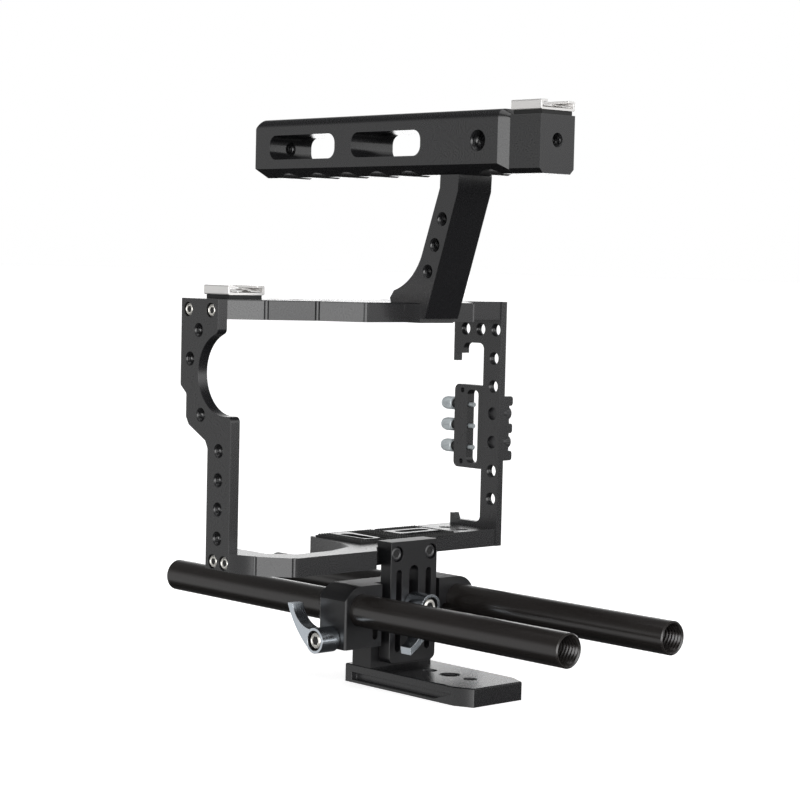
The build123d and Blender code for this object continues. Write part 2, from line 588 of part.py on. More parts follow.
export_step(handle_strut.part, "parts/handle_strut.step")

strut_screws = socket_screws([facing(0, y, TOP_UNDER + STRUT_SINK, (0, 0, -1)) for y in STRUT_SCREW_Y],
                             shank=11.0, head_r=3.4, head_h=3.4)
strut_screws.label = "strut_screws"
export_step(strut_screws, "parts/strut_screws.step")

# ---- handle grip -----------------------------------------------------------------------------
GRIP_SLOTS = ((72.6, 120.3), (14.0, 61.0))
FINGERS = [24.8 + FINGER_PITCH * i for i in range(5)] + [-27.0]
with BuildPart() as handle_grip:
    with BuildSketch(Plane.XZ.offset(-GRIP_BACK)) as section:
        with Locations((0, (GRIP_BOTTOM + GRIP_TOP) / 2)):
            Rectangle(2 * GRIP_HALF, GRIP_TOP - GRIP_BOTTOM)
        chamfer(section.vertices().group_by(Axis.Y)[0], GRIP_CHAMFER)
        fillet(section.vertices().group_by(Axis.Y)[-1], GRIP_CHAMFER)
    extrude(amount=GRIP_BACK - GRIP_FRONT)
    front = handle_grip.faces().sort_by(Axis.Y)[0].outer_wire().edges()
    chamfer(front.filter_by(Axis.Z), 4.8, 2.6)
    with BuildSketch(Plane.YZ.offset(-GRIP_HALF)):
        with BuildLine():
            Polyline((GRIP_BACK + 1, GRIP_TOP + 1), (GRIP_BACK - 3.4, GRIP_TOP + 1),
                     (GRIP_BACK - 3.4, GRIP_TOP), (GRIP_BACK, GRIP_TOP - GRIP_CHAMFER),
                     (GRIP_BACK + 1, GRIP_TOP - GRIP_CHAMFER), close=True)
        make_face()
        with BuildLine():
            Polyline((GRIP_BACK + 1, GRIP_BOTTOM - 1), (GRIP_BACK - 4.8, GRIP_BOTTOM - 1),
                     (GRIP_BACK - 4.8, GRIP_BOTTOM), (GRIP_BACK, GRIP_BOTTOM + 4.6),
                     (GRIP_BACK + 1, GRIP_BOTTOM + 4.6), close=True)
        make_face()
        with Locations(*[(y, GRIP_BOTTOM - FINGER_R + FINGER_DEPTH) for y in FINGERS]):
            Circle(FINGER_R)
    extrude(amount=2 * GRIP_HALF, mode=Mode.SUBTRACT)
    with BuildSketch(Plane.XZ.offset(-GRIP_FRONT)) as head:
        with Locations((0, (GRIP_BOTTOM + HEAD_TOP) / 2)):
            Rectangle(2 * HEAD_HALF, HEAD_TOP - GRIP_BOTTOM)
        chamfer(head.vertices().group_by(Axis.Y)[0], 2.2)
    extrude(amount=GRIP_FRONT - HEAD_FRONT)
    with BuildSketch(Plane.YZ.offset(-GRIP_HALF)):
        for y0, y1 in GRIP_SLOTS:
            with Locations(((y0 + y1) / 2, GRIP_AXIS_Z)):
                RectangleRounded(y1 - y0, 11.6, 4.6)
        with Locations((-22.7, GRIP_AXIS_Z)):
            Circle(R_THREE_EIGHTHS)
    extrude(amount=2 * GRIP_HALF, mode=Mode.SUBTRACT)
    with Locations(facing(0, HEAD_FRONT, GRIP_AXIS_Z, (0, -1, 0)),
                   facing(0, GRIP_BACK, GRIP_AXIS_Z, (0, 1, 0))):
        Hole(R_QUARTER, depth=12)
    with Locations((0, HANDLE_SCREW_Y, GRIP_TOP)):
        with GridLocations(2 * HANDLE_SCREW_X, 0, 2, 1):
            CounterBoreHole(M4_R + FIT, COUNTERBORE_R, HANDLE_SINK)
    with Locations((0, HANDLE_SHOE_Y, HEAD_TOP)):
        with GridLocations(0, 2 * SHOE_SCREW_Y, 1, 2):
            Hole(SHOE_SCREW_R + FIT, depth=5)
handle_grip.part.label = "handle_grip"
export_step(handle_grip.part, "parts/handle_grip.step")

handle_screws = socket_screws(
    [facing(x, HANDLE_SCREW_Y, GRIP_TOP - HANDLE_SINK, (0, 0, 1))
     for x in (-HANDLE_SCREW_X, HANDLE_SCREW_X)],
    shank=17.0, head_r=3.4, head_h=3.8)
handle_screws.label = "handle_screws"
export_step(handle_screws, "parts/handle_screws.step")


# ---- cold shoes ------------------------------------------------------------------------------
def shoe_base(x, y, z):
    """Black seat under a cold shoe."""
    with BuildPart() as body:
        with BuildSketch(Plane.XY.offset(z)):
            with Locations((x, y)):
                Rectangle(SHOE_W - 2.4, SHOE_DEPTH)
                with GridLocations(0, 2 * SHOE_SCREW_Y, 1, 2):
                    Circle(SHOE_SCREW_R + FIT, mode=Mode.SUBTRACT)
        extrude(amount=SHOE_BASE_T)
    return body.part


def shoe_channel(x, y, z):
    """Folded metal channel that takes an accessory foot."""
    w = SHOE_W / 2
    lip = SHOE_MOUTH / 2
    with BuildPart() as body:
        with BuildSketch(Plane.XZ.offset(-(y + SHOE_L / 2))) as section:
            with BuildLine():
                Polyline((x - w, z), (x + w, z), (x + w, z + SHOE_H), (x + lip, z + SHOE_H),
                         (x + lip, z + SHOE_H - SHOE_WALL), (x + w - SHOE_WALL, z + SHOE_H - SHOE_WALL),
                         (x + w - SHOE_WALL, z + SHOE_WALL), (x - w + SHOE_WALL, z + SHOE_WALL),
                         (x - w + SHOE_WALL, z + SHOE_H - SHOE_WALL), (x - lip, z + SHOE_H - SHOE_WALL),
                         (x - lip, z + SHOE_H), (x - w, z + SHOE_H), close=True)
            make_face()
            corners = section.vertices().filter_by(lambda v: abs(abs(v.X - x) - w) < 0.1)
            fillet(corners, 0.7)
        extrude(amount=SHOE_L)
        with Locations((x, y, z + SHOE_WALL)):
            with GridLocations(0, 2 * SHOE_SCREW_Y, 1, 2):
                CounterSinkHole(SHOE_SCREW_R + FIT, 2.3)
    return body.part


def shoe_screws(x, y, z):
    """Two small countersunk screws in a shoe's floor."""
    with BuildPart() as body:
        for dy in (-SHOE_SCREW_Y, SHOE_SCREW_Y):
            with BuildSketch(Plane.XZ.offset(-(y + dy))):
                with BuildLine():
                    Polyline((x, z - 0.1), (x + 2.15, z - 0.1), (x + SHOE_SCREW_R, z - 1.0),
                             (x + SHOE_SCREW_R, z - 5.0), (x, z - 5.0), close=True)
                make_face()
            revolve(axis=Axis((x, y + dy, 0), (0, 0, 1)))
    return body.part


for name, x, y, z in (("handle_shoe", 0.0, HANDLE_SHOE_Y, HEAD_TOP), ("cage_shoe", *CAGE_SHOE, CAGE_TOP)):
    floor = z + SHOE_BASE_T
    for suffix, piece in (("base", shoe_base(x, y, z)), ("channel", shoe_channel(x, y, floor)),
                          ("screws", shoe_screws(x, y, floor + SHOE_WALL))):
        piece.label = f"{name}_{suffix}"
        export_step(piece, f"parts/{name}_{suffix}.step")
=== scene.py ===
"""Cinema camera rig: looks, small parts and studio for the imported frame. Metres, row frame."""
import json
import math

import bmesh
import bpy
from mathutils import Matrix, Vector


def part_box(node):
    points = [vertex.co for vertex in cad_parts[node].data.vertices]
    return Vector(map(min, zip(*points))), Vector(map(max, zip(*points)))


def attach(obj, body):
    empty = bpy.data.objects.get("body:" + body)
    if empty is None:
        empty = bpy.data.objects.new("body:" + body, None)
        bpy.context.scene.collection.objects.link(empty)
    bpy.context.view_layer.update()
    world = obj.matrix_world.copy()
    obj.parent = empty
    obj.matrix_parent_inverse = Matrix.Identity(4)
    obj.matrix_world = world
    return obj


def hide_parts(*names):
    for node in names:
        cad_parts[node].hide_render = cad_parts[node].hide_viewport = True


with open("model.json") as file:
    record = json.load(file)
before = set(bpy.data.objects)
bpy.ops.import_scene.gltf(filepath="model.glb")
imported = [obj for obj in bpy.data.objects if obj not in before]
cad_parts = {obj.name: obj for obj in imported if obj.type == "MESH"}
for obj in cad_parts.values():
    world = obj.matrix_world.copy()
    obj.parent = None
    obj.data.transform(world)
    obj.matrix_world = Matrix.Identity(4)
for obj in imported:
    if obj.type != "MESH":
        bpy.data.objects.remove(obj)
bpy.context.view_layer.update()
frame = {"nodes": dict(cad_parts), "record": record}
MM = 0.001
NODES = frame["nodes"]
BODY_OF = {n: b for b, names in frame["record"]["behaviour"]["bodies"].items() for n in names}
SLOT_OF = {s["node"]: s["material_slot"] for s in frame["record"]["subparts"]}
MOUNTS = frame["record"]["mounts"]


# ---- shader node helpers ---------------------------------------------------------------------
def node(tree, kind, **values):
    """Adds a node; each value goes to the input of that name, or to the property when there is none."""
    n = tree.nodes.new(kind)
    for key, value in values.items():
        if key in n.inputs:
            n.inputs[key].default_value = value
        else:
            setattr(n, key, value)
    return n


def ramp(tree, value, lo, hi, to_lo, to_hi, kind="SMOOTHSTEP"):
    """A value's ramp from to_lo at lo to to_hi at hi, level outside."""
    n = node(tree, "ShaderNodeMapRange", interpolation_type=kind)
    for key, number in (("From Min", lo), ("From Max", hi), ("To Min", to_lo), ("To Max", to_hi)):
        n.inputs[key].default_value = number
    tree.links.new(value, n.inputs["Value"])
    return n.outputs["Result"]


def combine(tree, operation, a, b):
    n = node(tree, "ShaderNodeMath", operation=operation)
    tree.links.new(a, n.inputs[0])
    tree.links.new(b, n.inputs[1])
    return n.outputs["Value"]


def multiply(tree, a, b):
    return combine(tree, "MULTIPLY", a, b)


def add(tree, a, b):
    return combine(tree, "ADD", a, b)


def along(tree, vector, axis):
    """How far a direction points along an axis."""
    n = node(tree, "ShaderNodeVectorMath", operation="DOT_PRODUCT")
    tree.links.new(vector, n.inputs[0])
    n.inputs[1].default_value = axis
    return n.outputs["Value"]


# ---- materials -------------------------------------------------------------------------------
MOTTLE_SCALE = 45.0
EDGE_FROM, EDGE_TO = 0.985, 0.86   # cosine between true and rounded normal, from clean to fully worn
GRAIN_LOW, GRAIN_HIGH = 0.3, 0.7   # noise levels over which the roughness runs


def finish(name, base, rough, metallic=0.0, grain=900.0, bump=0.03, stretch=(1, 1, 1), spread=0.06,
           wear=(0.2, 0.2, 0.2), wear_amount=0.35, tint=0.15, specular=0.5, edge=0.35):
    """A surface finish: mottled colour, grain, roughness variation and brighter worn edges."""
    m = bpy.data.materials.new(name)
    m.use_nodes = True
    t = m.node_tree
    t.nodes.clear()
    out = node(t, "ShaderNodeOutputMaterial")
    p = node(t, "ShaderNodeBsdfPrincipled")
    p.inputs["Metallic"].default_value = metallic
    p.inputs["Specular IOR Level"].default_value = specular
    t.links.new(p.outputs["BSDF"], out.inputs["Surface"])
    where = node(t, "ShaderNodeTexCoord")
    scale = node(t, "ShaderNodeMapping")
    scale.inputs["Scale"].default_value = stretch
    t.links.new(where.outputs["Object"], scale.inputs["Vector"])
    fine = node(t, "ShaderNodeTexNoise", Scale=grain, Detail=3.0, Roughness=0.6)
    broad = node(t, "ShaderNodeTexNoise", Scale=MOTTLE_SCALE, Detail=4.0, Roughness=0.55)
    t.links.new(scale.outputs["Vector"], fine.inputs["Vector"])
    t.links.new(where.outputs["Object"], broad.inputs["Vector"])
    rounded = node(t, "ShaderNodeBevel", samples=4)
    rounded.inputs["Radius"].default_value = edge * MM
    surface = node(t, "ShaderNodeNewGeometry")
    dot = node(t, "ShaderNodeVectorMath", operation="DOT_PRODUCT")
    t.links.new(rounded.outputs["Normal"], dot.inputs[0])
    t.links.new(surface.outputs["Normal"], dot.inputs[1])
    worn = ramp(t, dot.outputs["Value"], EDGE_FROM, EDGE_TO, 0.0, wear_amount, "LINEAR")
    patchy = multiply(t, worn, broad.outputs["Fac"])
    mottle = node(t, "ShaderNodeMix", data_type="RGBA")
    mottle.inputs["A"].default_value = (*[c * (1 - tint) for c in base], 1)
    mottle.inputs["B"].default_value = (*[c * (1 + tint) for c in base], 1)
    t.links.new(broad.outputs["Fac"], mottle.inputs["Factor"])
    edged = node(t, "ShaderNodeMix", data_type="RGBA")
    edged.inputs["B"].default_value = (*wear, 1)
    t.links.new(patchy, edged.inputs["Factor"])
    t.links.new(mottle.outputs["Result"], edged.inputs["A"])
    t.links.new(edged.outputs["Result"], p.inputs["Base Color"])
    shine = ramp(t, fine.outputs["Fac"], GRAIN_LOW, GRAIN_HIGH, rough - spread, rough + spread, "LINEAR")
    t.links.new(shine, p.inputs["Roughness"])
    relief = node(t, "ShaderNodeBump")
    relief.inputs["Strength"].default_value = 1.0
    relief.inputs["Distance"].default_value = bump * MM
    t.links.new(fine.outputs["Fac"], relief.inputs["Height"])
    t.links.new(relief.outputs["Normal"], p.inputs["Normal"])
    return m


FINISH = {
    "cage_black": finish("anodised black", (0.015, 0.015, 0.0163), 0.26, grain=2600, bump=0.0025,
                         wear=(0.16, 0.16, 0.165), edge=0.3, specular=0.8),
    "rod_black": finish("rod black", (0.021, 0.0185, 0.017), 0.24, grain=1500, bump=0.001,
                        stretch=(1, 0.12, 1), wear=(0.18, 0.175, 0.17), spread=0.03, specular=0.8),
    "grey_lever": finish("lever grey", (0.72, 0.78, 0.84), 0.24, metallic=1.0, grain=900, bump=0.002,
                         stretch=(3, 0.3, 0.3), wear=(0.92, 0.94, 0.96), wear_amount=1.3, tint=0.04, edge=0.5,
                         spread=0.04),
    "silver_screw": finish("turned steel", (0.95, 0.93, 0.87), 0.22, metallic=0.5, grain=1800, bump=0.003,
                           wear=(0.95, 0.94, 0.9), tint=0.05),
    "black_screw": finish("black oxide", (0.03, 0.03, 0.032), 0.33, grain=2000, bump=0.004,
                          wear=(0.25, 0.25, 0.25), specular=0.8),
    "bright_shoe": finish("bright steel", (0.90, 0.885, 0.87), 0.15, metallic=0.5, grain=700, bump=0.002,
                          stretch=(3, 0.15, 3), wear=(0.97, 0.97, 0.97), tint=0.04, spread=0.04),
    "black_rubber": finish("rubber", (0.02, 0.02, 0.02), 0.62, grain=2200, bump=0.03,
                           wear=(0.06, 0.06, 0.06)),
}
THUMB = finish("pale plated", (0.62, 0.67, 0.69), 0.40, metallic=0.3, grain=1300, bump=0.006,
               wear=(0.85, 0.87, 0.88), tint=0.06)
# near-black for the shoe bases and thumbscrew collars, and also painted shade: the dark cups in the lever
# recesses and the plugs in the hex sockets
DARK_AND_SHADE = finish("dark parts and painted shade", (0.010, 0.010, 0.010), 0.5, grain=1500, bump=0.01, wear=(0.05, 0.05, 0.05))
MATT = finish("matt black", (0.011, 0.011, 0.012), 0.36, grain=2600, bump=0.0025,
              wear=(0.1, 0.1, 0.105), edge=0.2)


# ---- mesh helpers, in millimetres ------------------------------------------------------------
KNURLS, KNURL_DEPTH = 24, 0.07     # grooves round a socket head, depth as a share of its radius
SOCKET_DEEP = 1.5
LINING_INSET = 0.35                # a thread lining starts and ends this far inside its length


def frame_of(origin, axis, up=None):
    """Matrix whose local z runs along axis from origin, in millimetres."""
    z = Vector(axis).normalized()
    ref = Vector(up) if up else (Vector((0, 0, 1)) if abs(z.z) < 0.9 else Vector((0, 1, 0)))
    x = (ref - z * ref.dot(z)).normalized()
    y = z.cross(x)
    m = Matrix((x, y, z)).transposed().to_4x4()
    m.translation = Vector(origin)
    return Matrix.Scale(MM, 4) @ m


def make(name, body, slot, shells, replaces=(), material=None, smooth=35.0):
    """One object from closed shells, each (vertices, faces), in metres."""
    verts, faces = [], []
    for v, f in shells:
        base = len(verts)
        verts.extend(v)
        faces.extend([tuple(i + base for i in face) for face in f])
    mesh = bpy.data.meshes.new(name)
    mesh.from_pydata([tuple(v) for v in verts], [], faces)
    bm = bmesh.new()
    bm.from_mesh(mesh)
    bmesh.ops.recalc_face_normals(bm, faces=bm.faces)
    bm.to_mesh(mesh)
    bm.free()
    obj = bpy.data.objects.new(name, mesh)
    bpy.context.scene.collection.objects.link(obj)
    mesh.materials.append(material or FINISH[slot])
    mesh.shade_smooth()
    mesh.set_sharp_from_angle(angle=math.radians(smooth))
    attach(obj, body)
    if replaces:
        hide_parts(*replaces)


def tube(m, rings, n, closed=True):
    """Shell of revolution about local z, capped, or joined from last ring to first when not closed.

    Rings are (z, r) or (z, function of angle)."""
    verts, faces = [], []
    for z, r in rings:
        for k in range(n):
            a = 2 * math.pi * k / n
            rr = r(a) if callable(r) else r
            verts.append(m @ Vector((rr * math.cos(a), rr * math.sin(a), z)))
    count = len(rings)
    for i in range(count - 1):
        for k in range(n):
            k2 = (k + 1) % n
            faces.append((i * n + k, i * n + k2, (i + 1) * n + k2, (i + 1) * n + k))
    if closed:
        faces.append(tuple(range(n))[::-1])
        faces.append(tuple((count - 1) * n + k for k in range(n)))
    else:
        for k in range(n):
            k2 = (k + 1) % n
            faces.append(((count - 1) * n + k, (count - 1) * n + k2, k2, k))
    return verts, faces


def prism(m, outline, z0, z1):
    """Straight prism over an outline in local x, y."""
    n = len(outline)
    verts = [m @ Vector((x, y, z)) for z in (z0, z1) for x, y in outline]
    faces = [tuple(range(n))[::-1], tuple(range(n, 2 * n))]
    faces += [(i, (i + 1) % n, n + (i + 1) % n, n + i) for i in range(n)]
    return verts, faces


def slotted_field(m, box, centre, length, r, turned, z0, z1, n=48):
    """Flat raised field with a slot cut through it, the slot along y or turned to x."""
    x0, y0, x1, y1 = box
    rings = []
    for i in range(n):
        a = 2 * math.pi * (i + 0.5) / n
        end = (length / 2 - r) * (1 if math.sin(a) > 0 else -1)
        dx, dy = r * math.cos(a), r * math.sin(a) + end
        if turned:
            dx, dy = -dy, dx
        reach = min(((x1 if dx > 0 else x0) - centre[0]) / dx,
                    ((y1 if dy > 0 else y0) - centre[1]) / dy)
        rings.append([(centre[0] + k * dx, centre[1] + k * dy) for k in (1.0, reach)])
    verts = [m @ Vector((*rings[i][side], z))
             for side, z in ((0, z0), (0, z1), (1, z1), (1, z0)) for i in range(n)]
    faces = [(q * n + i, q * n + (i + 1) % n, (q + 1) % 4 * n + (i + 1) % n, (q + 1) % 4 * n + i)
             for q in range(4) for i in range(n)]
    return verts, faces


def hexagon(flat):
    """Radius of a hexagon by angle, from half of its width across flats."""
    return lambda a: flat / math.cos((a + math.pi / 6) % (math.pi / 3) - math.pi / 6)


def fluted(r, count, depth):
    """Radius of a round with grooves along it, by angle."""
    return lambda a: r - depth * (0.5 - 0.5 * math.cos(a * count))


def helix(z, pitch):
    """How far an internal thread stands in, by angle at height z: 0 at the root, 1 on the crest."""
    return lambda a: 0.5 + 0.5 * math.cos(2 * math.pi * z / pitch - a)


def screw_head(m, r, h, key):
    """Socket head standing on local z = 0: rounded rim, knurled side, hexagonal socket."""
    side = fluted(r, KNURLS, KNURL_DEPTH * r)
    return tube(m, [(0, side), (h - 0.75, side), (h - 0.52, r - 0.1), (h - 0.12, r - 0.62), (h, key + 0.7),
                    (h - 0.25, key + 0.35), (h - 0.3, hexagon(key)), (h - SOCKET_DEEP, hexagon(key)),
                    (h - SOCKET_DEEP - 0.4, 0.15)], 72)


def shank(m, r, z0, z1):
    """Plain round along local z from z0 to z1."""
    return tube(m, [(z0, r), (z1, r)], 24)


def thread_lining(m, r, length, pitch, depth):
    """Internal thread in a hole whose mouth is at local z = 0 and which runs to z = -length."""
    steps = max(4, int(round(length / (pitch / 4))))
    inner = []
    for i in range(steps + 1):
        z = -LINING_INSET - (length - 2 * LINING_INSET) * i / steps
        fade = min(1.0, (-LINING_INSET - z) / 0.5 + 0.05, (z + length - LINING_INSET) / 0.5 + 0.05)
        ridge = helix(z, pitch)
        inner.append((z, lambda a, d=depth * fade, ridge=ridge: r - 0.02 - d * ridge(a)))
    outer = [(inner[-1][0], r - 0.005), (inner[0][0], r - 0.005)]
    return tube(m, inner + outer, 32, closed=False)


def soften(obj, width, angle):
    """Merges flat faces and rounds the edges sharper than the angle, in degrees, inwards."""
    weld = obj.modifiers.new("weld", "WELD")
    weld.merge_threshold = 1e-6
    flat = obj.modifiers.new("flat faces", "DECIMATE")
    flat.decimate_type = "DISSOLVE"
    flat.angle_limit = math.radians(0.5)
    bevel = obj.modifiers.new("edges", "BEVEL")
    bevel.width = width * MM
    bevel.segments = 2
    bevel.limit_method = "ANGLE"
    bevel.angle_limit = math.radians(angle)
    bevel.use_clamp_overlap = True
    normals = obj.modifiers.new("normals", "WEIGHTED_NORMAL")
    normals.keep_sharp = False
    normals.weight = 80


def dress(name, width, material=None, angle=30):
    """A CAD node that stays in view gets its finish and softened edges."""
    obj = NODES[name]
    obj.data.materials.clear()
    obj.data.materials.append(material or FINISH[SLOT_OF[name]])
    obj.data.shade_smooth()
    soften(obj, width, angle)


# ---- carried-over solids ---------------------------------------------------------------------
for name in ("rod_clamp_block", "riser_plate"):
    dress(name, 0.3, MATT)
for name in ("base_plate", "bottom_plate", "top_plate", "side_plate_left", "side_plate_right",
             "handle_strut", "cable_clamp_body"):
    dress(name, 0.3)
dress("handle_grip", 0.3, angle=24)        # its long edges turn by only 28 to 30 degrees
for name in ("handle_shoe_base", "cage_shoe_base"):
    dress(name, 0.15, DARK_AND_SHADE)
for name in ("handle_shoe_channel", "cage_shoe_channel"):
    dress(name, 0.12)
for name in ("rod_lever_left", "rod_lever_right", "height_lever"):
    dress(name, 0.8)
for name in ("guide_pins", "base_screws", "handle_shoe_screws", "cage_shoe_screws"):
    dress(name, 0.08)

# ---- rods with threaded ends -----------------------------------------------------------------
ROD_R, ROD_CHAMFER, ROD_MOUTH_R = 7.5, 0.5, 6.75
THREAD_R, THREAD_DEPTH, BORE_STEP = 6.55, 0.6, 0.55
PITCH, THREAD_LEN, RINGS_A_TURN = 1.75, 15.0, 6


def rod_bore(depth):
    """Radius of the rod's bore by angle at a depth from its mouth; the thread runs out into the bore."""
    fade = min(1.0, (THREAD_LEN - depth) / 2.0)
    ridge = helix(depth, PITCH)
    return lambda a: THREAD_R - THREAD_DEPTH * fade * ridge(a) - BORE_STEP * (1 - fade)


for name in ("rod_left", "rod_right"):
    lo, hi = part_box(name)
    centre = (lo + hi) / 2 / MM
    start, length = lo.y / MM, (hi.y - lo.y) / MM
    place = frame_of((centre.x, start, centre.z), (0, 1, 0))
    count = int(THREAD_LEN / PITCH * RINGS_A_TURN) + 1
    depths = [ROD_CHAMFER + i * PITCH / RINGS_A_TURN for i in range(count)]
    depths = [d for d in depths if d < THREAD_LEN]
    rings = [(ROD_CHAMFER, ROD_R), (length - ROD_CHAMFER, ROD_R), (length, ROD_R - ROD_CHAMFER),
             (length, ROD_MOUTH_R)]
    rings += [(length - d, rod_bore(d)) for d in depths]
    rings += [(d, rod_bore(d)) for d in reversed(depths)]
    rings += [(0, ROD_MOUTH_R), (0, ROD_R - ROD_CHAMFER)]
    make(f"{name}_tube", name, "rod_black", [tube(place, rings, 64, closed=False)], [name], smooth=40)

# ---- screws ----------------------------------------------------------------------------------
# painted shade: a near-black hexagonal plug sits in each socket between these depths, standing in for the
# socket's shadow
SHADE_PLUG_LOW, SHADE_PLUG_HIGH = 1.45, 0.55  # the dark floor of a hex socket, below the head's face


def islands(name):
    """Boxes of the separate solids of a CAD node, in millimetres."""
    bm = bmesh.new()
    bm.from_mesh(NODES[name].data)
    bmesh.ops.remove_doubles(bm, verts=bm.verts, dist=1e-6)
    left = set(bm.verts)
    found = []
    while left:
        stack = [left.pop()]
        group = []
        while stack:
            v = stack.pop()
            group.append(v.co.copy())
            for e in v.link_edges:
                other = e.other_vert(v)
                if other in left:
                    left.remove(other)
                    stack.append(other)
        lo = Vector(map(min, zip(*group))) / MM
        hi = Vector(map(max, zip(*group))) / MM
        found.append((lo, hi))
    bm.free()
    return sorted(found, key=lambda b: tuple(round(c, 3) for c in b[0]))


def socket_group(name, axis, head, r, key, thread_r=2.0, short=0.0):
    """Replaces a node of socket screws, with a dark plug of painted shade in each socket.

    Axis points out of the heads. Head is their height, key half the socket's width across flats,
    and short is taken off the shank."""
    a = Vector(axis)
    k = max(range(3), key=lambda i: abs(a[i]))
    shells, shade_plugs = [], []
    for lo, hi in islands(name):
        outer, inner = (hi[k], lo[k]) if a[k] > 0 else (lo[k], hi[k])
        seat = (lo + hi) / 2
        seat[k] = outer - a[k] * head
        place = frame_of(seat, a)
        shells.append(screw_head(place, r, head, key))
        shells.append(shank(place, thread_r - 0.02, short - abs(inner - seat[k]), 0.02))
        # painted shade: the dark plug inside the hex socket
        sides = hexagon(key - 0.03)
        shade_plugs.append(tube(place, [(head - SHADE_PLUG_LOW, sides), (head - SHADE_PLUG_HIGH, sides)], 72))
    make(f"{name}_set", BODY_OF[name], SLOT_OF[name], shells, [name])
    make(f"{name}_painted_socket_shade", BODY_OF[name], SLOT_OF[name], shade_plugs, material=DARK_AND_SHADE)


socket_group("side_screws_left", (-1, 0, 0), 2.6, 2.85, 1.45)
socket_group("side_screws_right", (1, 0, 0), 1.8, 2.85, 1.45)
socket_group("riser_screws", (0, -1, 0), 3.4, 3.35, 1.6)
socket_group("cable_clamp_screws", (1, 0, 0), 3.6, 3.3, 1.6, thread_r=3.12, short=1.7)
socket_group("strut_screws", (0, 0, -1), 3.4, 3.35, 1.5)
socket_group("handle_screws", (0, 0, 1), 3.8, 3.35, 1.5)
LEVERS = (("rod_lever_left", (-1, 0, 0)), ("rod_lever_right", (1, 0, 0)), ("height_lever", (0, -1, 0)))
for lever, axis in LEVERS:
    socket_group(f"{lever}_screw", axis, 2.2, 3.55, 1.9, thread_r=2.5)

# ---- painted shade: dark cup in the recess round each lever's screw --------------------------
RECESS, SHADE_CUP_TOP, SHADE_CUP_WALL = 2.6, 0.5, 0.12     # depths below the lever's face, and thickness
SHADE_CUP_R, SHADE_CUP_HOLE_R = 4.58, 2.7
for name, axis in LEVERS:
    lo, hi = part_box(f"{name}_screw")
    mouth = (lo + hi) / 2 / MM
    k = max(range(3), key=lambda i: abs(axis[i]))
    lo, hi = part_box(name)
    mouth[k] = (hi if axis[k] > 0 else lo)[k] / MM
    bottom = -RECESS + 0.02
    # painted shade: a near-black cup lines the recess wall and floor, so a dark ring shows round the screw
    # head
    shade_cup = tube(frame_of(mouth, axis),
               [(-SHADE_CUP_TOP, SHADE_CUP_R), (bottom, SHADE_CUP_R), (bottom, SHADE_CUP_HOLE_R),
                (bottom + SHADE_CUP_WALL, SHADE_CUP_HOLE_R), (bottom + SHADE_CUP_WALL, SHADE_CUP_R - SHADE_CUP_WALL),
                (-SHADE_CUP_TOP, SHADE_CUP_R - SHADE_CUP_WALL)], 48, closed=False)
    make(f"{name}_painted_recess_shade", BODY_OF[name], SLOT_OF[name], [shade_cup], material=DARK_AND_SHADE)

# ---- threads in the accessory holes ----------------------------------------------------------
OWNERS = {"tripod": "base_plate", "left_side": "side_plate_left", "right_side": "side_plate_right",
          "top": "top_plate", "bottom": "bottom_plate", "strut": "handle_strut", "handle": "handle_grip"}
QUARTER_THREAD, LARGE_THREAD = (1.27, 0.45), (1.5875, 0.6)     # pitch and depth of 1/4-20 and 3/8-16
LONGEST_LINING, THROUGH = 9.5, 12.0    # a hole longer than THROUGH is lined from both sides
linings = {}
for mount in MOUNTS:
    if mount["kind"] != "threaded_hole":
        continue
    owner = next(node for start, node in OWNERS.items() if mount["name"].startswith(start))
    pos, axis = Vector(mount["pos_m"]) / MM, Vector(mount["axis"])
    r, length = mount["dims"]["r_mm"], mount["dims"]["length_mm"]
    k = max(range(3), key=lambda i: abs(axis[i]))
    lo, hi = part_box(owner)
    pos[k] = (hi if axis[k] > 0 else lo)[k] / MM
    far = pos - axis * length
    thread = (min(length, LONGEST_LINING), *(QUARTER_THREAD if r < 4 else LARGE_THREAD))
    shells = linings.setdefault(BODY_OF[owner], [])
    shells.append(thread_lining(frame_of(pos, axis), r, *thread))
    if length > THROUGH:
        shells.append(thread_lining(frame_of(far, -axis), r, *thread))
for body, shells in linings.items():
    make(f"threads_{body}", body, "cage_black", shells, smooth=60)

